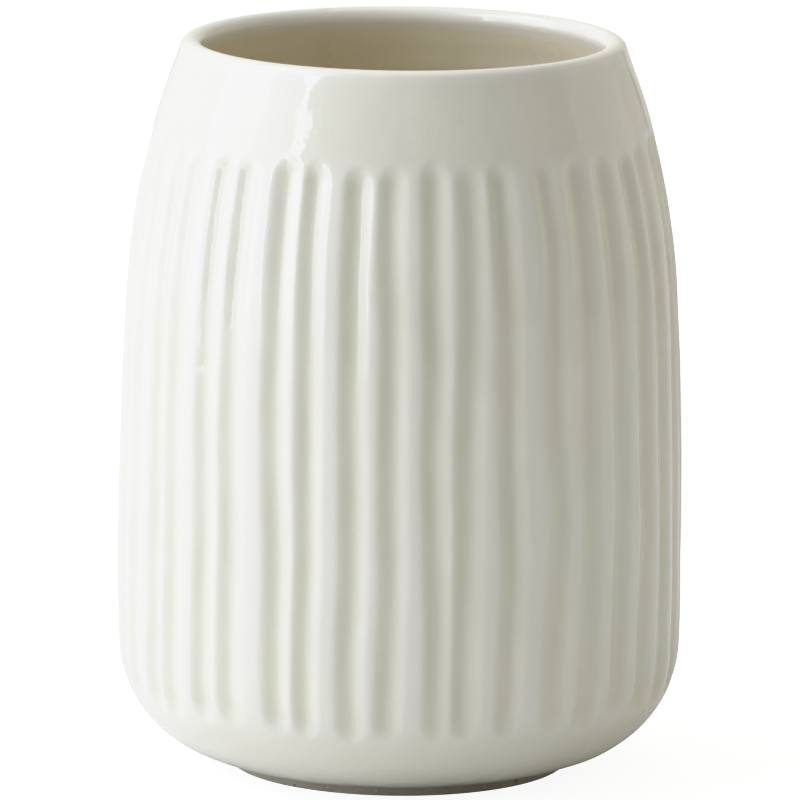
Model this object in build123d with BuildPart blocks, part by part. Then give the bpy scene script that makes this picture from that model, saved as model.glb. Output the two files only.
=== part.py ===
from build123d import *
from math import acos, asin, atan2, cos, pi, sin, sqrt
from random import Random
import os

# Pen holder cup: one carved stoneware body under two fired coats of glaze.
# Millimetres, +Z up, origin at the middle of the foot, where the cup stands.
# Outlines are drawn in the half plane of radius (X) and height (Z).

# Overall form, over the glaze
HEIGHT = 110.0              # table to the top of the lip
BELLY_RADIUS = 42.5         # widest point, over the ridges between flutes
BELLY_HEIGHT = 35.0         # height of the widest point
BELLY_CURVE = 650.0         # radius of the nearly straight wall
SHOULDER_HEIGHT = 72.5      # where the wall starts to lean in to the mouth
HEEL_HEIGHT = 18.5          # where the wall starts to turn under to the foot
MOUTH_RADIUS = 30.0         # clear opening inside the lip
WALL = 3.4                  # glazed wall, rounded right over at the lip
FLOOR = 3.9                 # glazed floor, over the hollow inside the foot ring
INSIDE_CORNER = 13.8        # round between the inside wall and the floor

# Foot ring, turned from the same clay and left bare
FOOT_RADIUS = 25.5
FOOT_HEIGHT = 1.6
FOOT_RING_WIDTH = 3.6
FOOT_RECESS = 1.1           # underside of the floor above the table
FOOT_EDGE = 0.4             # softened edges of the tread

# Carved flutes
FLUTE_COUNT = 42
FLUTE_WIDTH = 3.1
FLUTE_DEPTH = 0.75
COLLAR = 12.8               # plain band from the top of the lip to the flutes
FLUTE_BASE = 11.2           # height where the flutes run out
FLUTE_TURN = -134.4         # degrees from +X to the even place of the first flute
FLUTE_SLIP = 0.2            # most that a flute strays sideways, in spacings
CARVING_SEED = 134771       # fixes how the flutes stray

GOUGE_LAP = 0.6             # how far the gouge holds the belly's line past its ends

# Fired thickness of each coat of glaze
GLAZE = 0.4

# Worked out from the sizes above
LIP_RADIUS = WALL / 2
LIP_CENTRE = (MOUTH_RADIUS + LIP_RADIUS, HEIGHT - LIP_RADIUS)
FLOOR_TOP = FOOT_RECESS + FLOOR
FLUTE_SPACING = 360.0 / FLUTE_COUNT
GOUGE_RADIUS = (FLUTE_WIDTH**2 / 4 + FLUTE_DEPTH**2) / (2 * FLUTE_DEPTH)
GOUGE_STAND_OFF = GOUGE_RADIUS - FLUTE_DEPTH


class Bend:
    """A round stretch of an outline. Angles are in radians, from level, lower end first."""

    def __init__(self, centre, radius, start, end):
        self.centre = centre
        self.radius = radius
        self.start = start
        self.end = end

    def point(self, angle, inset=0.0):
        """The point at an angle, with the radius made smaller by the inset."""
        reach = self.radius - inset
        return (self.centre[0] + reach * cos(angle), self.centre[1] + reach * sin(angle))

    def arc(self, start, end, inset=0.0):
        """The first, middle and last points between two angles."""
        angles = (start, (start + end) / 2, end)
        return [self.point(angle, inset) for angle in angles]

    def rise(self, inset=0.0):
        """The whole bend, from its lower end to its upper end."""
        return self.arc(self.start, self.end, inset)

    def fall(self, inset=0.0):
        """The whole bend, from its upper end to its lower end."""
        return self.arc(self.end, self.start, inset)

    def angle_at_height(self, height, inset=0.0):
        """The angle where the outward side reaches a height."""
        return asin((height - self.centre[1]) / (self.radius - inset))

    def angle_at_radius(self, radius, inset=0.0):
        """The angle where the underside reaches a radius from the cup's axis."""
        return -acos((radius - self.centre[0]) / (self.radius - inset))


def bend_on(point, angle, target, tip_radius=0.0):
    """The circle that is tangent at a point and wraps a round tip about a target.

    The angle is the outward normal at the point. With no tip radius, the circle goes
    through the target itself. Returns the circle's centre and radius.
    """
    run = (target[0] - point[0], target[1] - point[1])
    outward = run[0] * cos(angle) + run[1] * sin(angle)
    radius = (tip_radius**2 - run[0] ** 2 - run[1] ** 2) / (2 * (outward + tip_radius))
    return (point[0] - radius * cos(angle), point[1] - radius * sin(angle)), radius


# The outside is three bends, each tangent to the next: heel, belly and shoulder.
belly = Bend((BELLY_RADIUS - BELLY_CURVE, BELLY_HEIGHT), BELLY_CURVE, 0.0, 0.0)
belly.start = belly.angle_at_height(HEEL_HEIGHT)
belly.end = belly.angle_at_height(SHOULDER_HEIGHT)

centre, radius = bend_on(belly.point(belly.end), belly.end, LIP_CENTRE, LIP_RADIUS)
lip_lean = atan2(LIP_CENTRE[1] - centre[1], LIP_CENTRE[0] - centre[0])
shoulder = Bend(centre, radius, belly.end, lip_lean)

centre, radius = bend_on(belly.point(belly.start), belly.start, (FOOT_RADIUS, FOOT_HEIGHT))
heel = Bend(centre, radius, 0.0, belly.start)
heel.start = heel.angle_at_radius(FOOT_RADIUS)

# The lip is half a circle, from the shoulder over to the inside.
lip = Bend(LIP_CENTRE, LIP_RADIUS, lip_lean, lip_lean + pi)

# The inside keeps the wall's thickness, and turns into the floor on a round of its own.
corner_height = FLOOR_TOP + INSIDE_CORNER
corner_reach = BELLY_CURVE - WALL - INSIDE_CORNER
corner_rise = corner_height - BELLY_HEIGHT
corner_centre = (belly.centre[0] + sqrt(corner_reach**2 - corner_rise**2), corner_height)
corner = Bend(corner_centre, INSIDE_CORNER, -pi / 2, asin(corner_rise / corner_reach))


def draw_outside(depth):
    """Draw the outside from the foot wall to the lip, at a depth into the wall."""
    start = heel.angle_at_radius(FOOT_RADIUS, depth)
    ThreePointArc(*heel.arc(start, heel.end, depth))
    ThreePointArc(*belly.rise(depth))
    ThreePointArc(*shoulder.rise(depth))
    return heel.point(start, depth)


def draw_inside(cover):
    """Draw the inside from the lip to the axis, under a cover of glaze."""
    depth = WALL - cover
    ThreePointArc(*shoulder.fall(depth))
    ThreePointArc(*belly.arc(belly.end, corner.end, depth))
    ThreePointArc(*corner.fall(-cover))
    floor_edge = corner.point(corner.start, -cover)
    middle = (0, floor_edge[1])
    Line(floor_edge, middle)
    return middle


def flute_angles():
    """Where each flute stands round the cup, in degrees from +X."""
    hand = Random(CARVING_SEED)
    angles = []
    for flute in range(FLUTE_COUNT):
        slip = hand.uniform(-FLUTE_SLIP, FLUTE_SLIP)
        angles.append(FLUTE_TURN + (flute + slip) * FLUTE_SPACING)
    return angles


def make_gouge(cover):
    """The room that one flute takes, at +X: a round gouge run along the outside.

    A cover of glaze still to come makes the gouge that much larger.
    """
    top = shoulder.angle_at_height(HEIGHT - COLLAR - FLUTE_WIDTH / 2)
    base = heel.angle_at_height(FLUTE_BASE + FLUTE_WIDTH / 2)
    lap = GOUGE_LAP / BELLY_CURVE
    with BuildPart() as gouge:
        with BuildLine(Plane.XZ) as path:
            wall = ThreePointArc(*belly.arc(belly.start - lap, belly.end + lap, -GOUGE_STAND_OFF))
            TangentArc(wall @ 1, shoulder.point(top, -GOUGE_STAND_OFF), tangent=wall % 1)
            TangentArc(wall @ 0, heel.point(base, -GOUGE_STAND_OFF), tangent=-(wall % 0))
        run = path.wire()
        with BuildSketch(Plane(origin=run @ 0, z_dir=run % 0)):
            Circle(GOUGE_RADIUS + cover)
        sweep(path=run)
        with Locations(run @ 0, run @ 1):
            Sphere(GOUGE_RADIUS + cover)
    return gouge.part


# Fired stoneware: the wall, floor and foot ring of one piece of clay.
clay_gouge = make_gouge(GLAZE)
with BuildPart() as clay_body:
    with BuildSketch(Plane.XZ) as section:
        with BuildLine():
            heel_corner = draw_outside(GLAZE)
            ThreePointArc(*lip.rise(GLAZE))
            floor_middle = draw_inside(GLAZE)
            ring_inside = FOOT_RADIUS - FOOT_RING_WIDTH
            Polyline(
                floor_middle,
                (0, FOOT_RECESS),
                (ring_inside, FOOT_RECESS),
                (ring_inside, 0),
                (FOOT_RADIUS, 0),
                heel_corner,
            )
        make_face()
        fillet(section.vertices().group_by(Axis.Y)[0], FOOT_EDGE)
    revolve(axis=Axis.Z)
    for angle in flute_angles():
        with Locations(Rotation(0, 0, angle)):
            add(clay_gouge, mode=Mode.SUBTRACT)
clay_body.part.label = "clay_body"

# Gloss coat over the outside and the lip. It ends on the foot wall, and its inner face
# is the clay's own, so it follows every flute at one thickness.
coat_gouge = make_gouge(0)
with BuildPart() as outer_glaze:
    with BuildSketch(Plane.XZ):
        with BuildLine():
            foot_corner = draw_outside(0)
            ThreePointArc(*lip.rise(0))
            Line(lip.point(lip.end), LIP_CENTRE)
            ThreePointArc(*shoulder.fall(LIP_RADIUS))
            ThreePointArc(*belly.fall(LIP_RADIUS))
            mid_wall = heel.angle_at_radius(FOOT_RADIUS, LIP_RADIUS)
            ThreePointArc(*heel.arc(heel.end, mid_wall, LIP_RADIUS))
            Line(heel.point(mid_wall, LIP_RADIUS), foot_corner)
        make_face()
    revolve(axis=Axis.Z)
    for angle in flute_angles():
        with Locations(Rotation(0, 0, angle)):
            add(coat_gouge, mode=Mode.SUBTRACT)
    add(clay_body.part, mode=Mode.SUBTRACT)
outer_glaze.part.label = "outer_glaze"

# Liner coat over the inside wall and floor, up to the outer coat at the lip.
with BuildPart() as inner_glaze:
    with BuildSketch(Plane.XZ):
        with BuildLine():
            Line(lip.point(lip.end, GLAZE), lip.point(lip.end))
            glazed_middle = draw_inside(0)
            clay_middle = draw_inside(GLAZE)
            Line(glazed_middle, clay_middle)
        make_face()
    revolve(axis=Axis.Z)
inner_glaze.part.label = "inner_glaze"

os.makedirs("parts", exist_ok=True)
for piece in (clay_body, outer_glaze, inner_glaze):
    export_step(piece.part, f"parts/{piece.part.label}.step")
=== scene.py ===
import logging
from dataclasses import dataclass
from enum import Enum
from math import acos, asin, atan2, cos, exp, pi, radians, sin, sqrt, tau
from random import Random
from typing import ClassVar

import bpy
import numpy as np
from mathutils import Matrix, Vector


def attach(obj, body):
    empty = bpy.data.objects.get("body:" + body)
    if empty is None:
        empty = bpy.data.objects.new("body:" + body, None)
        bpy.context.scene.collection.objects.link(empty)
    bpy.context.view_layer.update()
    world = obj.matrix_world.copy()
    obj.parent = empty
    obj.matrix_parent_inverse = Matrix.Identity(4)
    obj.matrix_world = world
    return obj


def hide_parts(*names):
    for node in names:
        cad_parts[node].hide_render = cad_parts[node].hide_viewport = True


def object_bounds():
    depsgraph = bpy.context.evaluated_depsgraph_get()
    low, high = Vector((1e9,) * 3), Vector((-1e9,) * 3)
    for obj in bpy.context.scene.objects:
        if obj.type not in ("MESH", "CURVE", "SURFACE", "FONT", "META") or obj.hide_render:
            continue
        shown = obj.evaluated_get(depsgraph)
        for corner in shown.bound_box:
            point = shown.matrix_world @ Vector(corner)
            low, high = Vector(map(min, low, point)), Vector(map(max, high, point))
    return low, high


# A carved stoneware pen holder cup: clay, outer coat and liner coat, on a pale studio floor.
# Everything is in metres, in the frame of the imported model: +Z up, origin under the middle of the foot.

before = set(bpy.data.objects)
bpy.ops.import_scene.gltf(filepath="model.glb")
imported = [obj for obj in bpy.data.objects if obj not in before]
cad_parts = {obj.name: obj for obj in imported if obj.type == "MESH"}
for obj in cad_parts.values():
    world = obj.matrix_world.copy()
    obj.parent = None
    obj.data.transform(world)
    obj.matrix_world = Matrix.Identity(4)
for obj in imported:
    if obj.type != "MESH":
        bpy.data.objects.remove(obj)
CAD_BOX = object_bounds()
MM = 0.001
Array = np.ndarray
Pair = tuple[float, float]
Colour = tuple[float, float, float, float]
Tree = bpy.types.NodeTree
Socket = bpy.types.NodeSocket
log = logging.getLogger("pen_holder_cup")


# ---------------- the cup's form


@dataclass(frozen=True)
class Bend:
    """A round stretch of an outline, in the half plane of radius and height."""

    centre: Pair
    radius: float
    start: float
    end: float

    @property
    def length(self) -> float:
        """Distance along the bend."""
        return self.radius * abs(self.end - self.start)

    def point(self, angle: float) -> Pair:
        """The place at an angle: the centre, plus the radius in that direction."""
        return (self.centre[0] + self.radius * cos(angle), self.centre[1] + self.radius * sin(angle))

    def angle_at_height(self, height: float) -> float:
        """The angle where the outward side reaches a height."""
        return asin((height - self.centre[1]) / self.radius)

    def falling(self, inset: float, end: float) -> "Bend":
        """The bend made smaller by an inset, and run from its upper end down to an angle."""
        return Bend(self.centre, self.radius - inset, self.end, end)

    def rows(self, steps: int) -> Array:
        """Evenly spaced places along the bend, both ends included, as rows of radius and height."""
        angle = np.linspace(self.start, self.end, steps + 1)
        return np.array(self.centre) + self.radius * np.stack((np.cos(angle), np.sin(angle)), axis=-1)


@dataclass(frozen=True)
class Outline:
    """Bends joined end to end, followed by the distance from where the first one starts."""

    bends: tuple[Bend, ...]
    samples: int = 2000

    @property
    def marks(self) -> Array:
        """Distance at which each bend starts, and where the last one ends."""
        return np.concatenate(([0.0], np.cumsum([bend.length for bend in self.bends])))

    def follow(self, distance: Array) -> tuple[Array, Array]:
        """Find places along the outline, and the way that the bend faces at each.

        On a bend of radius R about a centre C, the angle is the bend's start plus or minus the
        distance covered over R, and the place is C + R (cos angle, sin angle).

        Args:
            distance: How far along the outline each place lies.

        Returns:
            The places and their unit facings, each as rows of radius and height.
        """
        marks = self.marks
        which = np.clip(np.searchsorted(marks, distance, side="right") - 1, 0, len(self.bends) - 1)
        facts = np.array([(*b.centre, b.radius, b.start, np.sign(b.end - b.start)) for b in self.bends])
        centre, radius, start, way = facts[which, :2], facts[which, 2], facts[which, 3], facts[which, 4]
        angle = start + way * (distance - marks[which]) / radius
        facing = np.stack((np.cos(angle), np.sin(angle)), axis=-1)
        return centre + radius[:, None] * facing, facing

    def distance_at_height(self, height: float) -> float:
        """How far along the rising part of the outline a height is reached."""
        distance = np.linspace(0.0, self.marks[-2], self.samples)
        return float(np.interp(height, self.follow(distance)[0][:, 1], distance))


def bend_on(point: Pair, angle: float, target: Pair, tip_radius: float = 0.0) -> tuple[Pair, float]:
    """Find the circle that is tangent at a point and wraps a round tip about a target.

    With the run from the point to the target and its part along the outward normal, the radius
    is (tip radius squared - run squared) / (2 (outward part + tip radius)).

    Args:
        point: Where the circle is tangent.
        angle: The outward normal there, in radians from level.
        target: The tip's centre, or the place that the circle goes through.
        tip_radius: The tip's radius.

    Returns:
        The circle's centre and its radius.
    """
    run = (target[0] - point[0], target[1] - point[1])
    outward = run[0] * cos(angle) + run[1] * sin(angle)
    radius = (tip_radius**2 - run[0] ** 2 - run[1] ** 2) / (2 * (outward + tip_radius))
    return (point[0] - radius * cos(angle), point[1] - radius * sin(angle)), radius


@dataclass(frozen=True)
class CupForm:
    """The sizes and outlines that the clay and both coats of glaze share."""

    height: float = CAD_BOX[1].z
    belly_radius: float = 42.5 * MM
    belly_height: float = 35.0 * MM
    belly_curve: float = 650.0 * MM
    shoulder_height: float = 72.5 * MM
    heel_height: float = 18.5 * MM
    mouth_radius: float = 30.0 * MM
    wall: float = 3.4 * MM
    floor: float = 3.9 * MM
    inside_corner: float = 13.8 * MM
    foot_radius: float = 25.5 * MM
    foot_height: float = 1.6 * MM
    foot_ring_width: float = 3.6 * MM
    foot_recess: float = 1.1 * MM
    foot_edge: float = 0.4 * MM
    glaze: float = 0.4 * MM

    @property
    def floor_top(self) -> float:
        """Height of the glazed floor inside."""
        return self.foot_recess + self.floor

    @property
    def belly(self) -> Bend:
        """The nearly straight wall, rising."""
        whole = Bend((self.belly_radius - self.belly_curve, self.belly_height), self.belly_curve, 0.0, 0.0)
        start, end = whole.angle_at_height(self.heel_height), whole.angle_at_height(self.shoulder_height)
        return Bend(whole.centre, whole.radius, start, end)

    @property
    def lip_centre(self) -> Pair:
        """Middle of the round lip."""
        return (self.mouth_radius + self.wall / 2, self.height - self.wall / 2)

    @property
    def shoulder(self) -> Bend:
        """The wall leaning in to the mouth, rising."""
        belly = self.belly
        centre, radius = bend_on(belly.point(belly.end), belly.end, self.lip_centre, self.wall / 2)
        lean = atan2(self.lip_centre[1] - centre[1], self.lip_centre[0] - centre[0])
        return Bend(centre, radius, belly.end, lean)

    @property
    def heel(self) -> Bend:
        """The wall turning under to the foot, rising."""
        belly = self.belly
        foot = (self.foot_radius, self.foot_height)
        centre, radius = bend_on(belly.point(belly.start), belly.start, foot)
        return Bend(centre, radius, -acos((self.foot_radius - centre[0]) / radius), belly.start)

    @property
    def lip(self) -> Bend:
        """Half a circle over the top of the wall, from outside to inside."""
        lean = self.shoulder.end
        return Bend(self.lip_centre, self.wall / 2, lean, lean + pi)

    @property
    def outside(self) -> Outline:
        """From the foot wall up the outside and over the lip. The facings point to the air."""
        return Outline((self.heel, self.belly, self.shoulder, self.lip))

    @property
    def inside(self) -> Outline:
        """From the lip down the inside to the edge of the floor. The facings point into the clay."""
        belly, shoulder = self.belly, self.shoulder
        corner_height = self.floor_top + self.inside_corner
        reach = self.belly_curve - self.wall - self.inside_corner
        rise = corner_height - self.belly_height
        turn = asin(rise / reach)
        centre = (belly.centre[0] + sqrt(reach**2 - rise**2), corner_height)
        return Outline(
            (
                shoulder.falling(self.wall, shoulder.start),
                belly.falling(self.wall, turn),
                Bend(centre, self.inside_corner, turn, -pi / 2),
            )
        )


# ---------------- what the hand leaves in it


def stations(*stretches: tuple[float, float, int]) -> Array:
    """Distances along stretches that follow on, each given as its start, end and number of steps."""
    pieces = [np.linspace(start, end, steps, endpoint=False) for start, end, steps in stretches]
    return np.concatenate((*pieces, [stretches[-1][1]]))


def ease(value: Array) -> Array:
    """A smooth step: 0 up to 0, 1 from 1 on, and 3 v^2 - 2 v^3 between."""
    value = np.clip(value, 0.0, 1.0)
    return value * value * (3 - 2 * value)


@dataclass(frozen=True)
class Unevenness:
    """The slow swells that throwing and dipping by hand leave in a round wall."""

    seed: int = 611
    height: float = 0.13 * MM
    lobes: tuple[int, ...] = (2, 3, 5, 7, 11, 16)
    rises: tuple[float, ...] = (95 * MM, 60 * MM, 38 * MM, 27 * MM, 19 * MM, 13 * MM)
    falloff: float = 0.25

    def depth(self, turn: Array, distance: Array) -> Array:
        """How far the surface falls short of its outline.

        A sum of slanting waves: each has a whole number of lobes round the cup, one wavelength up
        the wall and a phase of its own, and the higher waves are lower in proportion.

        Args:
            turn: Angle round the cup of each point, rows by columns.
            distance: Distance along the outline of each row.

        Returns:
            The shortfall of each point, never below nothing.
        """
        phases = np.random.default_rng(self.seed).uniform(0, tau, len(self.lobes))
        total, most = np.zeros_like(turn), 0.0
        for lobes, rise, phase in zip(self.lobes, self.rises, phases):
            share = self.lobes[0] / (self.lobes[0] + self.falloff * lobes)
            total += share * np.cos(lobes * turn + tau * distance[:, None] / rise + phase)
            most += share
        return self.height * (1 - total / most)


@dataclass(frozen=True)
class Carving:
    """The hand-carved flutes. The columns of the outer coat and the clay follow them up the wall.

    A wave is its length up the wall and its size, which is in degrees for the sway.
    """

    form: CupForm
    count: int = 42
    reach: float = 2.8 * MM
    depth: float = 0.8 * MM
    collar: float = 12.8 * MM
    base: float = 11.2 * MM
    upper_end: float = 4.0 * MM
    lower_end: float = 4.4 * MM
    turn: float = radians(-134.4)
    slip: float = 0.2
    bow: float = radians(0.5)
    bow_middle: float = 41 * MM
    bow_reach: float = 11 * MM
    lean: float = radians(0.22)
    lean_middle: float = 55 * MM
    lean_reach: float = 40 * MM
    sway_waves: tuple[Pair, ...] = ((88 * MM, 0.26), (41 * MM, 0.15), (19 * MM, 0.07))
    upper_stray: Pair = (0.0, 1.2 * MM)
    lower_stray: Pair = (-1.1 * MM, 0.1 * MM)
    depth_spread: float = 0.07
    depth_waves: tuple[Pair, ...] = ((47 * MM, 0.06), (21 * MM, 0.05))
    width_spread: float = 0.05
    seed: int = 134771
    columns: int = 14

    def middles(self, height: Array) -> Array:
        """Angle of each flute's middle at each height, rows by flutes.

        Each flute has an even place plus a slip of its own. On the way up it bows to the right,
        leans a little, and wanders in slow waves.
        """
        hand = Random(self.seed)
        slips = np.array([hand.uniform(-self.slip, self.slip) for _ in range(self.count)])
        even = self.turn + (np.arange(self.count) + slips) * tau / self.count
        draw = np.random.default_rng(self.seed)
        level = np.clip(height, self.base, self.form.height - self.collar)[:, None]
        bow = self.bow * np.exp(-(((level - self.bow_middle) / self.bow_reach) ** 2))
        lean = self.lean * draw.normal(size=self.count) * (level - self.lean_middle) / self.lean_reach
        wander = np.zeros((len(height), self.count))
        for length, size in self.sway_waves:
            phase, strength = draw.uniform(0, tau, self.count), draw.normal(size=self.count)
            wander += radians(size) * strength * np.sin(tau * level / length + phase)
        return even + bow + lean + wander

    def gaps(self, middle: Array) -> Array:
        """Angle from the middle of each flute to the next one's."""
        gap = np.roll(middle, -1, axis=1) - middle
        gap[:, -1] += tau
        return gap

    def turns(self, height: Array) -> Array:
        """Angle of each column at each height: shares of the way from one flute to the next."""
        middle = self.middles(height)
        gap = self.gaps(middle)
        share = np.arange(self.columns) / self.columns
        return (middle[:, :, None] + gap[:, :, None] * share).reshape(len(height), -1)

    def cuts(self, distance: Array) -> Array:
        """How deep the gouge went at each row and column.

        With r the sideways distance from the flute's middle over the gouge's reach, joined
        crosswise with the distance past the flute's end over the length of its round end, the
        depth is half of (1 + cos(pi r)), and nothing from r = 1 on. Where two cuts meet, they
        join as a + b - ab.

        Args:
            distance: Distance of each row along the outside.

        Returns:
            The depths, rows by columns.
        """
        outside = self.form.outside
        place, _ = outside.follow(distance)
        radius, height = place[:, :1], place[:, 1]
        middle = self.middles(height)
        gap = self.gaps(middle)
        draw = np.random.default_rng(self.seed + 1)
        over = draw.uniform(*self.upper_stray, self.count)
        under = draw.uniform(*self.lower_stray, self.count)
        top = outside.distance_at_height(self.form.height - self.collar) + over - self.upper_end
        bottom = outside.distance_at_height(self.base) + under + self.lower_end
        run = distance[:, None]
        past = np.maximum((run - top) / self.upper_end, (bottom - run) / self.lower_end)
        past = np.maximum(past, 0.0)
        pressure = 1 + self.depth_spread * draw.normal(size=self.count)
        for length, size in self.depth_waves:
            phase = draw.uniform(0, tau, self.count)
            pressure = pressure + size * np.sin(tau * run / length + phase)
        width = self.reach * (1 + self.width_spread * draw.normal(size=self.count))

        def cut(sideways: Array, flute: Array) -> Array:
            """One flute's share of the depth at each column of its gap, rows by flutes by columns."""
            across = sideways * radius[:, :, None] / width[flute][None, :, None]
            r = np.hypot(across, past[:, flute][:, :, None])
            return pressure[:, flute][:, :, None] * (0.5 + 0.5 * np.cos(pi * np.minimum(r, 1.0)))

        share = np.arange(self.columns) / self.columns
        here, after = np.arange(self.count), np.roll(np.arange(self.count), -1)
        near = cut(gap[:, :, None] * share, here)
        far = cut(gap[:, :, None] * (1 - share), after)
        return self.depth * (near + far - near * far).reshape(len(distance), -1)


# ---------------- meshes


CREASE = radians(52)  # an edge that turns further than this stays crisp


class Ends(Enum):
    """How the first and last rows of a skin close."""

    LOOP = "the last row joins the first"
    POLES = "each of the two is one point on the cup's axis"


def make_skin(name: str, points: Array, ends: Ends, marks: dict[str, Array]) -> bpy.types.Object:
    """Make a closed mesh from rows of points that each go once round the cup.

    Seen from above, columns run anticlockwise, and the rows run so that the air is on the right
    of a profile drawn with the axis at its left. Every face then points outwards.

    Args:
        name: The object's name.
        points: Places, rows by columns by 3.
        ends: How the first and last rows close.
        marks: Values for each point, rows by columns, by the name of their attribute.

    Returns:
        The object, at the origin.
    """
    rows, columns = points.shape[:2]
    index = np.arange(rows * columns).reshape(rows, columns)
    if ends is Ends.LOOP:
        index = np.vstack((index, index[:1]))
    ahead = np.roll(index, -1, axis=1)
    faces = np.stack((index[:-1], ahead[:-1], ahead[1:], index[1:]), axis=-1).reshape(-1, 4).tolist()
    places = points.reshape(-1, 3)
    kept = np.ones(len(places), dtype=bool)
    if ends is Ends.POLES:
        first, last = index[0, 0], index[-1, 0]
        bottom = np.stack((np.full(columns, first), ahead[1], index[1]), axis=-1)
        top = np.stack((index[-2], ahead[-2], np.full(columns, last)), axis=-1)
        faces = bottom.tolist() + faces[columns:-columns] + top.tolist()
        kept[index[0, 1:]] = False
        kept[index[-1, 1:]] = False
        number = np.cumsum(kept) - 1
        faces = [[int(number[corner]) for corner in face] for face in faces]
    mesh = bpy.data.meshes.new(name)
    mesh.from_pydata(places[kept].tolist(), [], faces)
    for label, values in marks.items():
        attribute = mesh.attributes.new(label, "FLOAT", "POINT")
        attribute.data.foreach_set("value", values.reshape(-1)[kept].astype(np.float32))
    mesh.shade_smooth()
    mesh.set_sharp_from_angle(angle=CREASE)
    skin = bpy.data.objects.new(name, mesh)
    bpy.context.scene.collection.objects.link(skin)
    return skin


def turn_round(section: Array, turns: Array) -> Array:
    """Carry radius and height round the cup: (r cos t, r sin t, z) for each row and column."""
    radius, height = section[..., 0], section[..., 1]
    return np.stack((radius * np.cos(turns), radius * np.sin(turns), height), axis=-1)


# ---------------- shader effects


def put(tree: Tree, kind: str, feeds: dict[str | int, object], **settings: object) -> bpy.types.Node:
    """Add a node to a tree.

    Args:
        tree: The node tree.
        kind: The node's type.
        feeds: What each input gets, by its name or number: a link if it is a socket, else a value.
        settings: The node's own settings.

    Returns:
        The node.
    """
    node = tree.nodes.new(kind)
    for name, value in settings.items():
        setattr(node, name, value)
    for name, value in feeds.items():
        if isinstance(value, Socket):
            tree.links.new(value, node.inputs[name])
        else:
            node.inputs[name].default_value = value
    return node


def reckon(tree: Tree, operation: str, *terms: object) -> Socket:
    """Add a Math node, and give its result."""
    return put(tree, "ShaderNodeMath", dict(enumerate(terms)), operation=operation).outputs[0]


def spread(tree: Tree, value: object, low: float, high: float, to_low: float, to_high: float) -> Socket:
    """Add a smooth Map Range node from low and high to two other values, and give its result."""
    feeds = {"Value": value, "From Min": low, "From Max": high, "To Min": to_low, "To Max": to_high}
    return put(tree, "ShaderNodeMapRange", feeds, interpolation_type="SMOOTHSTEP").outputs["Result"]


def blend(tree: Tree, share: object, first: object, second: object) -> Socket:
    """Add a node that mixes two colours by a share, and give the colour."""
    node = put(tree, "ShaderNodeMix", {0: share}, data_type="RGBA", clamp_factor=True)
    for socket, value in ((node.inputs[6], first), (node.inputs[7], second)):
        if isinstance(value, Socket):
            tree.links.new(value, socket)
        else:
            socket.default_value = value
    return node.outputs[2]


class Effect:
    """A shader node group with named inputs and outputs, built once and used by several finishes."""

    sockets: ClassVar[dict[type, str]] = {float: "NodeSocketFloat", tuple: "NodeSocketColor"}

    def __init__(self, name: str, takes: dict[str, object]) -> None:
        """Start the group with its vector input and the inputs that it takes, with their defaults."""
        self.tree = bpy.data.node_groups.new(name, "ShaderNodeTree")
        self.tree.interface.new_socket(name="Vector", in_out="INPUT", socket_type="NodeSocketVector")
        for label, value in takes.items():
            kind = self.sockets[type(value)]
            socket = self.tree.interface.new_socket(name=label, in_out="INPUT", socket_type=kind)
            socket.default_value = value
        self.inputs = self.tree.nodes.new("NodeGroupInput").outputs

    def give(self, results: dict[str, Socket]) -> None:
        """Finish the group with its outputs."""
        for label, result in results.items():
            kind = "NodeSocketColor" if result.type == "RGBA" else "NodeSocketFloat"
            self.tree.interface.new_socket(name=label, in_out="OUTPUT", socket_type=kind)
        end = self.tree.nodes.new("NodeGroupOutput")
        for label, result in results.items():
            self.tree.links.new(result, end.inputs[label])

    def use(self, tree: Tree, feeds: dict[str, object]) -> bpy.types.NodeOutputs:
        """Place the group in a material, and give its outputs."""
        return put(tree, "ShaderNodeGroup", feeds, node_tree=self.tree).outputs


def cloud_effect() -> Effect:
    """Slow clouds in a coat's colour, where it ran thicker or thinner, with finer ones inside them."""
    effect = Effect("clouds", {"Size": 0.02, "Thin": (1.0, 1.0, 1.0, 1.0), "Thick": (0.8, 0.8, 0.8, 1.0)})
    tree, given = effect.tree, effect.inputs
    scale = reckon(tree, "DIVIDE", 1.0, given["Size"])
    noise = {"Vector": given["Vector"], "Scale": scale, "Detail": 4.0, "Roughness": 0.55}
    broad = put(tree, "ShaderNodeTexNoise", noise).outputs[0]
    all_thin, all_thick = 0.34, 0.66
    share = spread(tree, broad, all_thin, all_thick, 0.0, 1.0)
    effect.give({"Colour": blend(tree, share, given["Thin"], given["Thick"]), "Share": share})
    return effect


def speck_effect() -> Effect:
    """Small round specks scattered through a surface, each of a different size.

    Each cell draws a number from 0 to 1. Its speck's size is the largest size times the draw's
    cube, and a cell with a low draw has none.
    """
    effect = Effect("specks", {"Spacing": 0.003, "Largest": 0.25, "Soft": 0.1})
    tree, given = effect.tree, effect.inputs
    scale = reckon(tree, "DIVIDE", 1.0, given["Spacing"])
    cells = put(tree, "ShaderNodeTexVoronoi", {"Vector": given["Vector"], "Scale": scale}, feature="F1")
    draw = put(tree, "ShaderNodeSeparateColor", {0: cells.outputs["Color"]}).outputs[0]
    size = reckon(tree, "MULTIPLY", reckon(tree, "POWER", draw, 3.0), given["Largest"])
    inside = reckon(tree, "SUBTRACT", size, cells.outputs["Distance"])
    edge = reckon(tree, "DIVIDE", inside, given["Soft"])
    mask = put(tree, "ShaderNodeClamp", {0: reckon(tree, "ADD", edge, 0.5)}).outputs[0]
    lowest = 0.35
    present = reckon(tree, "GREATER_THAN", draw, lowest)
    effect.give({"Mask": reckon(tree, "MULTIPLY", mask, present)})
    return effect


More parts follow.
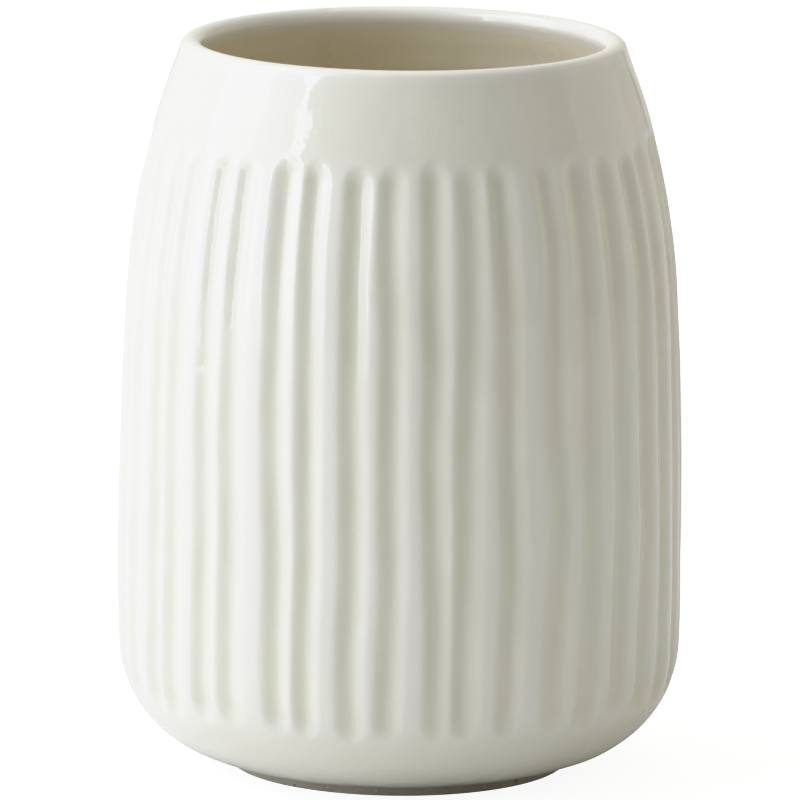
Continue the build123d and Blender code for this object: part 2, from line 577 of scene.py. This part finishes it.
def ripple_effect() -> Effect:
    """The faint unevenness of a fired surface, as a height: broad ripples with a fine skin on them."""
    effect = Effect("ripples", {"Broad": 0.004, "Fine": 0.0007, "Fine Share": 0.2})
    tree, given = effect.tree, effect.inputs
    heights = []
    for label, detail in (("Broad", 2.0), ("Fine", 1.0)):
        scale = reckon(tree, "DIVIDE", 1.0, given[label])
        noise = {"Vector": given["Vector"], "Scale": scale, "Detail": detail, "Roughness": 0.5}
        heights.append(put(tree, "ShaderNodeTexNoise", noise).outputs[0])
    fine = reckon(tree, "MULTIPLY", heights[1], given["Fine Share"])
    effect.give({"Height": reckon(tree, "ADD", heights[0], fine)})
    return effect


def wheel_line_effect() -> Effect:
    """Lines that a tool leaves on the wheel: one spiral about the axis, with its pitch along the profile.

    The height is half of 1 + sin(2 pi (radius + height + waver) / pitch + angle about the axis).
    """
    effect = Effect("wheel_lines", {"Pitch": 0.001, "Waver": 0.0003})
    tree, given = effect.tree, effect.inputs
    parts = put(tree, "ShaderNodeSeparateXYZ", {0: given["Vector"]}).outputs
    squares = [reckon(tree, "POWER", part, 2.0) for part in (parts[0], parts[1])]
    radius = reckon(tree, "SQRT", reckon(tree, "ADD", *squares))
    along = reckon(tree, "ADD", radius, parts[2])
    waves_per_metre = 120.0
    waver_feeds = {"Vector": given["Vector"], "Scale": waves_per_metre, "Detail": 3.0}
    noise = put(tree, "ShaderNodeTexNoise", waver_feeds).outputs[0]
    waver = reckon(tree, "MULTIPLY", reckon(tree, "SUBTRACT", noise, 0.5), given["Waver"])
    turns = reckon(tree, "DIVIDE", reckon(tree, "ADD", along, waver), given["Pitch"])
    about = reckon(tree, "ARCTAN2", parts[1], parts[0])
    phase = reckon(tree, "ADD", reckon(tree, "MULTIPLY", turns, tau), about)
    wave = reckon(tree, "MULTIPLY_ADD", reckon(tree, "SINE", phase), 0.5, 0.5)
    effect.give({"Height": wave})
    return effect


class Effects:
    """The shader effects that the finishes share."""

    def __init__(self) -> None:
        """Build each effect once."""
        self.clouds = cloud_effect()
        self.specks = speck_effect()
        self.ripples = ripple_effect()
        self.wheel_lines = wheel_line_effect()


# ---------------- finishes


class Slot(Enum):
    """The record's material slots."""

    CLAY = "bare_clay"
    CREAM = "cream_glaze"
    LINER = "liner_glaze"


@dataclass(frozen=True)
class Specks:
    """Specks in a finish. The largest size and the soft edge are shares of the spacing."""

    colour: Colour
    spacing: float
    largest: float
    soft: float
    strength: float


@dataclass(frozen=True)
class Ripples:
    """Ripples in a finish: the size of the broad and of the fine ones, and the fine ones' share."""

    broad: float
    fine: float
    fine_share: float


@dataclass(frozen=True)
class WheelLines:
    """Wheel lines in a finish, with their height as a share of the ripples'."""

    pitch: float
    waver: float
    share: float


class Batch:
    """A material being made, with the shared effects placed on its Object coordinates."""

    def __init__(self, slot: Slot, effects: Effects, size: float, thin: Colour, thick: Colour) -> None:
        """Start the material, under the name of its slot, with clouds of a size in two colours."""
        self.material = bpy.data.materials.new(slot.value)
        self.material.use_nodes = True
        self.tree = self.material.node_tree
        self.tree.nodes.clear()
        self.effects = effects
        self.where = put(self.tree, "ShaderNodeTexCoord", {}).outputs["Object"]
        feeds = {"Vector": self.where, "Size": size, "Thin": thin, "Thick": thick}
        clouds = effects.clouds.use(self.tree, feeds)
        self.colour, self.share = clouds["Colour"], clouds["Share"]

    def mark(self, name: str) -> Socket:
        """Read the piece's own values of a name."""
        return put(self.tree, "ShaderNodeAttribute", {}, attribute_name=name).outputs["Fac"]

    def stray(self, value: Socket, drift: float) -> Socket:
        """Make a value uneven: value + drift (cloud share - 1/2)."""
        uneven = reckon(self.tree, "MULTIPLY_ADD", self.share, drift, -drift / 2)
        return reckon(self.tree, "ADD", value, uneven)

    def speckle(self, specks: Specks, colour: Socket, where: Socket | None = None) -> tuple[Socket, Socket]:
        """Lay specks over a colour.

        Args:
            specks: The specks.
            colour: The colour under them.
            where: Coordinates to scatter them by, if not the material's own.

        Returns:
            The colour with the specks in it, and the specks' mask.
        """
        feeds = {"Vector": where or self.where, "Spacing": specks.spacing}
        feeds |= {"Largest": specks.largest, "Soft": specks.soft}
        mask = self.effects.specks.use(self.tree, feeds)["Mask"]
        share = reckon(self.tree, "MULTIPLY", mask, specks.strength)
        return blend(self.tree, share, colour, specks.colour), mask

    def ripple(self, ripples: Ripples) -> Socket:
        """Place ripples, and give their height."""
        feeds = {"Vector": self.where, "Broad": ripples.broad}
        feeds |= {"Fine": ripples.fine, "Fine Share": ripples.fine_share}
        return self.effects.ripples.use(self.tree, feeds)["Height"]

    def rule(self, lines: WheelLines, height: Socket) -> Socket:
        """Add wheel lines to a height."""
        feeds = {"Vector": self.where, "Pitch": lines.pitch, "Waver": lines.waver}
        wave = self.effects.wheel_lines.use(self.tree, feeds)["Height"]
        return reckon(self.tree, "MULTIPLY_ADD", wave, lines.share, height)

    def finish(
        self, colour: Socket, roughness: Pair, ior: float, height: Socket, relief: float
    ) -> bpy.types.Material:
        """End the material with its shader and output.

        Args:
            colour: The base colour.
            roughness: The roughness where the clouds are thin, and where they are thick.
            ior: The index of refraction.
            height: The fine relief.
            relief: How far a height of 1 stands out, in metres.

        Returns:
            The material.
        """
        bump = put(self.tree, "ShaderNodeBump", {"Height": height, "Distance": relief, "Strength": 1.0})
        rough = spread(self.tree, self.share, 0.0, 1.0, *roughness)
        feeds = {"Base Color": colour, "Roughness": rough, "IOR": ior, "Normal": bump.outputs[0]}
        shader = put(self.tree, "ShaderNodeBsdfPrincipled", feeds)
        put(self.tree, "ShaderNodeOutputMaterial", {"Surface": shader.outputs[0]})
        return self.material


@dataclass(frozen=True)
class CreamGlaze:
    """Gloss cream glaze: deeper where it pools, and whiter where it breaks thin over ridges and lip; that
    whiter colour is partly a painted highlight.
    """

    # thin: the whiter colour over ridges and lip crest, where the glaze runs thin, and partly a painted
    # highlight
    thin: Colour = (0.86, 0.845, 0.76, 1.0)
    even: Colour = (0.81, 0.795, 0.67, 1.0)
    pooled: Colour = (0.75, 0.735, 0.60, 1.0)
    clouded: Colour = (0.79, 0.775, 0.65, 1.0)
    cloud_size: float = 17 * MM
    drift: float = 0.3
    pool_start: float = 0.05
    pool_share: float = 0.8
    specks: Specks = Specks((0.42, 0.36, 0.26, 1.0), 5.5 * MM, 0.05, 0.02, 0.12)
    ripples: Ripples = Ripples(3.2 * MM, 0.9 * MM, 0.05)
    roughness: Pair = (0.05, 0.105)
    ior: float = 1.56
    relief: float = 0.11 * MM

    def make(self, effects: Effects) -> bpy.types.Material:
        """Build the material, from the coat's own pooling values and its thinning values, which paint the
        ridges and lip crest whiter, partly as a painted highlight.
        """
        batch = Batch(Slot.CREAM, effects, self.cloud_size, self.even, self.clouded)
        pool = batch.stray(batch.mark("pooling"), self.drift)
        depth = spread(batch.tree, pool, self.pool_start, 1.0, 0.0, self.pool_share)
        colour = blend(batch.tree, depth, batch.colour, self.pooled)
        # Whiter over ridges and lip crest: thin glaze, and partly a painted highlight.
        colour = blend(batch.tree, batch.mark("thinning_and_highlight"), colour, self.thin)
        colour, _ = batch.speckle(self.specks, colour)
        return batch.finish(colour, self.roughness, self.ior, batch.ripple(self.ripples), self.relief)


@dataclass(frozen=True)
class LinerGlaze:
    """Gloss glaze poured inside, with the cream coat lapping over its upper edge. Its warm colour is partly
    the glaze's own and partly painted shade, the warm tone of the shaded inside.
    """

    # Warm beige: partly the liner's own colour, partly painted shade of the shaded inside.
    even: Colour = (0.85, 0.785, 0.60, 1.0)
    clouded: Colour = (0.81, 0.74, 0.55, 1.0)
    lapped: Colour = (0.86, 0.835, 0.74, 1.0)
    cloud_size: float = 14 * MM
    drift: float = 0.3
    lap_edge: Pair = (0.25, 0.8)
    specks: Specks = Specks((0.34, 0.27, 0.17, 1.0), 4.5 * MM, 0.07, 0.03, 0.45)
    lines: WheelLines = WheelLines(2.3 * MM, 1.2 * MM, 0.5)
    ripples: Ripples = Ripples(3.5 * MM, 0.8 * MM, 0.08)
    roughness: Pair = (0.2, 0.28)
    ior: float = 1.5
    relief: float = 0.035 * MM

    def make(self, effects: Effects) -> bpy.types.Material:
        """Build the material, from the liner's own lap values."""
        batch = Batch(Slot.LINER, effects, self.cloud_size, self.even, self.clouded)
        lapped = spread(batch.tree, batch.stray(batch.mark("lap"), self.drift), *self.lap_edge, 0.0, 1.0)
        colour = blend(batch.tree, lapped, batch.colour, self.lapped)
        colour, _ = batch.speckle(self.specks, colour)
        height = batch.rule(self.lines, batch.ripple(self.ripples))
        return batch.finish(colour, self.roughness, self.ior, height, self.relief)


@dataclass(frozen=True)
class BareClay:
    """Fired buff stoneware, dry to the touch, with grog in it and the turning tool's lines. Its colour is
    set darker than the clay looks in light, partly as painted shade of the shadowed foot.
    """

    # Darker than the lit clay: partly the clay's own colour, partly painted shade of the shadowed foot.
    even: Colour = (0.51, 0.465, 0.375, 1.0)
    clouded: Colour = (0.45, 0.405, 0.32, 1.0)
    cloud_size: float = 9 * MM
    dark_grog: Specks = Specks((0.17, 0.125, 0.085, 1.0), 1.5 * MM, 0.34, 0.08, 0.75)
    pale_grog: Specks = Specks((0.68, 0.63, 0.53, 1.0), 0.9 * MM, 0.42, 0.1, 0.6)
    pale_shift: tuple[float, float, float] = (0.4, 0.1, 0.7)
    grog_height: float = 0.5
    lines: WheelLines = WheelLines(0.55 * MM, 0.25 * MM, 0.6)
    ripples: Ripples = Ripples(0.9 * MM, 0.25 * MM, 0.5)
    roughness: Pair = (0.8, 0.92)
    ior: float = 1.45
    relief: float = 0.06 * MM

    def make(self, effects: Effects) -> bpy.types.Material:
        """Build the material, with the pale grog scattered by shifted coordinates of its own."""
        batch = Batch(Slot.CLAY, effects, self.cloud_size, self.even, self.clouded)
        tree = batch.tree
        shifted = put(tree, "ShaderNodeMapping", {"Vector": batch.where, "Location": self.pale_shift})
        colour, _ = batch.speckle(self.pale_grog, batch.colour, shifted.outputs[0])
        colour, dark = batch.speckle(self.dark_grog, colour)
        height = batch.rule(self.lines, batch.ripple(self.ripples))
        height = reckon(tree, "ADD", height, reckon(tree, "MULTIPLY", dark, self.grog_height))
        return batch.finish(colour, self.roughness, self.ior, height, self.relief)


# ---------------- the cup's pieces


@dataclass(frozen=True)
class OuterCoat:
    """Gloss coat over the outside and the lip, one glaze thickness deep over every flute."""

    form: CupForm
    carving: Carving
    unevenness: Unevenness
    foot_fade: float = 6 * MM
    lip_fade: float = 3 * MM
    lip_fade_end: float = 1.2 * MM
    lower_zone: Pair = (-1.2 * MM, 5 * MM)
    upper_zone: Pair = (-4.5 * MM, 1.4 * MM)
    ridge_depth: float = 0.25
    ridge_fade: float = 4 * MM
    # Shares of the whiter colour over ridges and lip crest: thin glaze, and partly a painted highlight.
    ridge_thinning_and_highlight: float = 0.55
    crest_start: float = 1.5 * MM
    crest_fade: float = 2.5 * MM
    crest_thinning_and_highlight: float = 0.7
    air_steps: tuple[int, ...] = (17, 15, 46, 16, 12, 16)
    clay_steps: tuple[int, ...] = (4, 6, 9, 6, 2, 6)

    def depth(self, turns: Array, distance: Array) -> Array:
        """How far the glazed surface lies inside its outline: the cuts plus the unevenness.

        The unevenness fades out at the foot and over the lip, where the coat meets other pieces.
        """
        lip = self.form.outside.marks[3]
        fade = ease(distance / self.foot_fade) * ease((lip + self.lip_fade_end - distance) / self.lip_fade)
        return self.carving.cuts(distance) + fade[:, None] * self.unevenness.depth(turns, distance)

    def zones(self) -> tuple[float, float, float, float, float, float]:
        """Distances along the outside: about the flutes' lower and upper ends, the lip and its end."""
        outside = self.form.outside
        low = outside.distance_at_height(self.carving.base)
        high = outside.distance_at_height(self.form.height - self.carving.collar)
        lower = [low + step for step in self.lower_zone]
        upper = [high + step for step in self.upper_zone]
        return (*lower, *upper, *outside.marks[-2:])

    def rows(self, steps: tuple[int, ...]) -> Array:
        """Distances of rows along the outside, with a number of steps up to each of the zones' places."""
        marks = (0.0, *self.zones())
        return stations(*zip(marks, marks[1:], steps))

    def section(self, distance: Array, under: float) -> tuple[Array, Array]:
        """Place rows of the outside, at a depth under the glazed surface.

        Args:
            distance: Distance of each row along the outside.
            under: How far under the glazed surface the rows lie.

        Returns:
            Radius and height of each point, rows by columns by 2, and the angle round the cup.
        """
        place, facing = self.form.outside.follow(distance)
        turns = self.carving.turns(place[:, 1])
        depth = self.depth(turns, distance) + under
        return place[:, None] - depth[..., None] * facing[:, None], turns

    def build(self) -> bpy.types.Object:
        """Make the coat: up the air side from the foot, over the lip, and back down the clay side."""
        showing, hidden = self.rows(self.air_steps), self.rows(self.clay_steps)[::-1]
        air, air_turns = self.section(showing, 0.0)
        clay, clay_turns = self.section(hidden, self.form.glaze)
        points = turn_round(np.concatenate((air, clay)), np.concatenate((air_turns, clay_turns)))
        distance = np.concatenate((showing, hidden))
        pooling = self.carving.cuts(distance) / self.carving.depth
        bottom, _, _, top, lip, _ = self.zones()
        fade = ease((distance - bottom) / self.ridge_fade) * ease((top - distance) / self.ridge_fade)
        ridge = ease(1 - pooling / self.ridge_depth) * fade[:, None]
        crest = ease((distance - lip + self.crest_start) / self.crest_fade)[:, None]
        # Whiter over ridges and the lip crest, where the glaze runs thin: partly a painted highlight.
        thinning_and_highlight = np.maximum(self.ridge_thinning_and_highlight * ridge, self.crest_thinning_and_highlight * crest)
        marks = {"pooling": pooling, "thinning_and_highlight": thinning_and_highlight}
        return make_skin("outer_coat", points, Ends.LOOP, marks)


@dataclass(frozen=True)
class LinerCoat:
    """Coat poured inside, over the wall and floor, with the fingers' spiral faintly in it."""

    form: CupForm
    columns: int = 252
    ring_pitch: float = 5.2 * MM
    ring_height: float = 0.13 * MM
    lap_width: float = 2.2 * MM
    top_stretch: float = 4 * MM
    ring_start: float = 9 * MM
    ring_end: float = 7 * MM

    def wall_rows(self) -> Array:
        """Distances of the rows from the lip down to the edge of the floor."""
        inside = self.form.inside
        top, corner, end = self.top_stretch, *inside.marks[2:]
        return stations((0.0, top, 8), (top, corner, 74), (corner, end, 22))

    def build(self) -> bpy.types.Object:
        """Make the coat: out along the floor's underside and up the clay side, then back on the air side.

        On the air side the fingers' spiral stands out by half of its height times
        1 + sin(2 pi distance / pitch - angle), and fades at the lip and at the floor's middle.
        """
        inside = self.form.inside
        distance = self.wall_rows()
        place, facing = inside.follow(distance)
        edge = place[-1, 0]
        inwards = np.linspace(edge, 0.0, 26)[1:]
        turns = np.linspace(0.0, tau, self.columns, endpoint=False)

        floor = np.stack((inwards, np.full_like(inwards, self.form.floor_top)), axis=-1)
        down = np.tile([0.0, -1.0], (len(floor), 1))
        profile, into_clay = np.vstack((place, floor)), np.vstack((facing, down))
        travelled = np.concatenate((distance, distance[-1] + edge - inwards))
        fade = ease(travelled / self.ring_start) * ease((travelled[-1] - travelled) / self.ring_end)
        swell = 0.5 + 0.5 * np.sin(tau * travelled[:, None] / self.ring_pitch - turns)
        stand = self.ring_height * fade[:, None] * swell
        air = profile[:, None] - stand[..., None] * into_clay[:, None]

        clay = (profile + self.form.glaze * into_clay)[::-3]
        clay = np.vstack((clay[:-1], place[0] + self.form.glaze * facing[0]))
        clay = np.repeat(clay[:, None], self.columns, axis=1)
        points = turn_round(np.concatenate((clay, air)), turns)
        lap = np.concatenate((np.zeros(len(clay)), 1 - travelled / self.lap_width))
        marks = {"lap": np.repeat(np.clip(lap, 0.0, 1.0)[:, None], self.columns, axis=1)}
        return make_skin("liner_coat", points, Ends.POLES, marks)


@dataclass(frozen=True)
class ClayBody:
    """The fired clay under both coats, with its turned foot left bare."""

    form: CupForm
    coat: OuterCoat
    cove: float = 0.5 * MM
    hollow: float = 0.25 * MM
    line_pitch: float = 1.7 * MM
    line_depth: float = 0.05 * MM
    line_fade: float = 2 * MM
    round_steps: int = 6

    def foot(self) -> Array:
        """Profile of the turned foot, from the axis over the recess and the tread, up the foot wall.

        The recess is cut a little higher towards its middle, by the hollow times the square of the
        share of the way in, and the tool leaves one shallow line in each pitch.
        """
        form, edge, cove, steps = self.form, self.form.foot_edge, self.cove, self.round_steps
        ring = form.foot_radius - form.foot_ring_width
        out = np.linspace(0.0, ring - cove, 60)
        fade = ease((ring - cove - out) / self.line_fade)
        hollow = self.hollow * (1 - out / out[-1]) ** 2
        lines = self.line_depth * fade * (0.5 + 0.5 * np.sin(tau * out / self.line_pitch)) ** 3
        recess = np.stack((out, form.foot_recess + hollow + lines), axis=-1)
        round_in = Bend((ring - cove, form.foot_recess - cove), cove, pi / 2, 0.0).rows(steps)[1:]
        inner = Bend((ring + edge, edge), edge, pi, 1.5 * pi).rows(steps)
        outer = Bend((form.foot_radius - edge, edge), edge, -pi / 2, 0.0).rows(steps)
        flat = np.linspace(inner[-1, 0], outer[0, 0], 12)[1:-1]
        tread = np.stack((flat, np.zeros_like(flat)), axis=-1)
        rise = np.linspace(edge, form.foot_height + form.glaze, 6)[1:-1]
        wall = np.stack((np.full_like(rise, form.foot_radius), rise), axis=-1)
        return np.vstack((recess, round_in, inner, tread, outer, wall))

    def build(self) -> bpy.types.Object:
        """Make the clay: the foot, up the outside and over the lip under the coat, and down inside."""
        form = self.form
        outer, outer_turns = self.coat.section(self.coat.rows(self.coat.clay_steps), form.glaze)
        inside = form.inside
        place, facing = inside.follow(np.linspace(*inside.marks[[0, -1]], 26)[1:])
        inner = place + form.glaze * facing
        floor = np.stack((np.linspace(inner[-1, 0], 0.0, 5)[1:], np.full(4, inner[-1, 1])), axis=-1)
        foot, inner = self.foot(), np.vstack((inner, floor))
        columns = outer_turns.shape[1]
        parts = [np.repeat(rows[:, None], columns, axis=1) for rows in (foot, inner)]
        turns = [np.repeat(outer_turns[[row]], len(rows), axis=0) for row, rows in ((0, foot), (-1, inner))]
        section = np.concatenate((parts[0], outer, parts[1]))
        points = turn_round(section, np.concatenate((turns[0], outer_turns, turns[1])))
        return make_skin("clay", points, Ends.POLES, {})


@dataclass
class Cup:
    """The pen holder cup: its clay and both of its coats."""

    form: CupForm
    effects: Effects

    def dress(self, piece: bpy.types.Object, material: bpy.types.Material, node: str) -> None:
        """Give a piece its material, let it stand for a CAD node, and report it."""
        piece.data.materials.append(material)
        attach(piece, "root")
        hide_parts(node)
        log.info("%s: %d faces, for %s", piece.name, len(piece.data.polygons), node)

    def build(self) -> None:
        """Make and dress the three pieces."""
        coat = OuterCoat(self.form, Carving(self.form), Unevenness())
        self.dress(coat.build(), CreamGlaze().make(self.effects), "outer_glaze")
        self.dress(LinerCoat(self.form).build(), LinerGlaze().make(self.effects), "inner_glaze")
        self.dress(ClayBody(self.form, coat).build(), BareClay().make(self.effects), "clay_body")


# ---------------- the studio


@dataclass(frozen=True)
class Panel:
    """A flat soft light that faces the cup.

    Its azimuth and elevation are in degrees, the azimuth from the camera's side of the cup towards
    -X, and its glow is its brightness, where 1 is a white sheet.
    """

    name: str
    azimuth: float
    elevation: float
    distance: float
    width: float
    height: float
    glow: float
    tint: tuple[float, float, float] = (1.0, 1.0, 1.0)

    def build(self, target: Vector) -> None:
        """Hang the panel, unseen by the camera itself but there in reflections."""
        light = bpy.data.lights.new(self.name, "AREA")
        light.shape = "RECTANGLE"
        light.size, light.size_y = self.width, self.height
        light.energy = self.glow * pi * self.width * self.height
        light.color = self.tint
        lamp = bpy.data.objects.new(self.name, light)
        azimuth, elevation = radians(self.azimuth), radians(self.elevation)
        level = cos(elevation)
        away = Vector((-sin(azimuth) * level, -cos(azimuth) * level, sin(elevation)))
        lamp.location = target + self.distance * away
        lamp.rotation_euler = (-away).to_track_quat("-Z", "Y").to_euler()
        lamp.visible_camera = False
        bpy.context.scene.collection.objects.link(lamp)
        log.info("%s: %.1f W", self.name, light.energy)


@dataclass(frozen=True)
class Response:
    """How the view takes its light: true up to a knee, a soft shoulder above it, then white."""

    knee: float = 0.78
    ease: float = 0.165
    steps: tuple[float, ...] = (0.07, 0.16, 0.28, 0.42)
    white: float = 1.6

    def shoulder(self, rise: float) -> float:
        """The value at a rise past the knee: knee + ease (1 - e to the power -rise / ease)."""
        return self.knee + self.ease * (1.0 - exp(-rise / self.ease))

    def apply(self) -> None:
        """Draw the response as the view's tone curve."""
        view = bpy.context.scene.view_settings
        view.view_transform = "Standard"
        view.use_curve_mapping = True
        mapping = view.curve_mapping
        mapping.clip_max_x = mapping.clip_max_y = self.white
        curve = mapping.curves[3]
        curve.points[1].location = (self.white, 1.0)
        for share in (0.5, 1.0):
            curve.points.new(share * self.knee, share * self.knee)
        for rise in self.steps:
            curve.points.new(self.knee + rise, self.shoulder(rise))
        for point in curve.points:
            point.handle_type = "AUTO_CLAMPED"
        mapping.update()


@dataclass(frozen=True)
class Studio:
    """A plain pale floor, soft panels that are brightest at the left, a pale room, and the camera.

    A panel's numbers are its azimuth, elevation, distance, width, height and glow, then its tint.
    """

    floor_size: float = 12.0
    floor_colour: Colour = (0.85, 0.85, 0.845, 1.0)
    floor_roughness: float = 0.9
    floor_gloss: float = 0.1
    floor_lift: float = 1.15
    room_glow: float = 0.338
    room_tint: Colour = (1.0, 0.985, 0.94, 1.0)
    room_seen: float = 2.0
    camera_place: tuple[float, float, float] = (-0.00013, -1.400, 0.3254)
    camera_pitch: float = radians(10.93)
    camera_roll: float = radians(0.488)
    lens: float = 427.7
    sensor: float = 36.0
    sight: Pair = (0.1, 20.0)
    response: Response = Response()
    panels: tuple[Panel, ...] = (
        Panel("window", 88.5, 17.5, 1.0, 0.47, 0.75, 2.75, (0.97, 1.0, 1.17)),
        Panel("window_front", 64.5, 17.5, 1.0, 0.4, 0.75, 1.5, (0.93, 1.0, 1.22)),
        Panel("window_edge", 51, 17.5, 1.0, 0.08, 0.75, 5.4, (0.94, 1.0, 1.18)),
        Panel("wall_over_window", 88, 52, 1.0, 0.9, 0.43, 3.4, (0.97, 1.0, 1.13)),
        Panel("window_side", 113, 17.5, 1.0, 0.42, 0.75, 0.62, (0.98, 1.0, 1.16)),
        Panel("left_wall", 146, 18.5, 1.2, 0.83, 0.94, 0.47, (0.98, 1.0, 1.07)),
        Panel("back_wall", 186, 21, 1.2, 0.83, 1.07, 0.41, (1.04, 1.0, 0.78)),
        Panel("right_wall_far", 218, 18.5, 1.3, 0.5, 1.02, 0.3, (0.98, 1.0, 0.97)),
        Panel("right_wall", 248, 18.5, 1.3, 0.95, 1.02, 0.5, (1.02, 1.0, 0.78)),
        Panel("ceiling", 150, 76, 1.2, 1.0, 1.0, 0.8),
    )

    def build_floor(self) -> None:
        """Lay the floor. To the camera it glows white, and the cup is lit by it as by a plain floor."""
        half = self.floor_size / 2
        mesh = bpy.data.meshes.new("studio_floor")
        corners = [(-half, -half, 0), (half, -half, 0), (half, half, 0), (-half, half, 0)]
        mesh.from_pydata(corners, [], [(0, 1, 2, 3)])
        material = bpy.data.materials.new("studio_floor")
        material.use_nodes = True
        tree = material.node_tree
        tree.nodes.clear()
        seen = put(tree, "ShaderNodeLightPath", {}).outputs["Is Camera Ray"]
        lift = reckon(tree, "MULTIPLY", seen, self.floor_lift)
        feeds = {
            "Base Color": self.floor_colour,
            "Roughness": self.floor_roughness,
            "Specular IOR Level": self.floor_gloss,
            "Emission Color": (1.0, 1.0, 1.0, 1.0),
            "Emission Strength": lift,
        }
        shader = put(tree, "ShaderNodeBsdfPrincipled", feeds)
        put(tree, "ShaderNodeOutputMaterial", {"Surface": shader.outputs[0]})
        mesh.materials.append(material)
        floor = bpy.data.objects.new("studio_floor", mesh)
        bpy.context.scene.collection.objects.link(floor)

    def build_room(self) -> None:
        """Light the room evenly. The camera sees it white, and the cup is lit by it more softly."""
        world = bpy.data.worlds.new("room")
        world.use_nodes = True
        tree = world.node_tree
        tree.nodes.clear()
        seen = put(tree, "ShaderNodeLightPath", {}).outputs["Is Camera Ray"]
        strength = spread(tree, seen, 0.0, 1.0, self.room_glow, self.room_seen)
        colour = blend(tree, seen, self.room_tint, (1.0, 1.0, 1.0, 1.0))
        glow = put(tree, "ShaderNodeBackground", {"Color": colour, "Strength": strength})
        put(tree, "ShaderNodeOutputWorld", {"Surface": glow.outputs[0]})
        bpy.context.scene.world = world

    def build_camera(self) -> None:
        """Stand the camera in front of the cup, looking down at it and tilted slightly."""
        data = bpy.data.cameras.new("camera")
        data.lens, data.sensor_width = self.lens, self.sensor
        data.clip_start, data.clip_end = self.sight
        camera = bpy.data.objects.new("camera", data)
        pitch = Matrix.Rotation(pi / 2 - self.camera_pitch, 4, "X")
        roll = Matrix.Rotation(self.camera_roll, 4, "Z")
        camera.matrix_world = Matrix.Translation(self.camera_place) @ pitch @ roll
        bpy.context.scene.collection.objects.link(camera)
        bpy.context.scene.camera = camera

    def build(self, cup_height: float) -> None:
        """Set up the whole studio round a cup of a height."""
        self.build_floor()
        self.build_room()
        for panel in self.panels:
            panel.build(Vector((0.0, 0.0, cup_height / 2)))
        self.build_camera()
        self.response.apply()


def main() -> None:
    """Build the cup and its studio."""
    logging.basicConfig(level=logging.INFO, format="%(message)s")
    form = CupForm()
    Cup(form, Effects()).build()
    Studio().build(form.height)


if __name__ == "__main__":
    main()
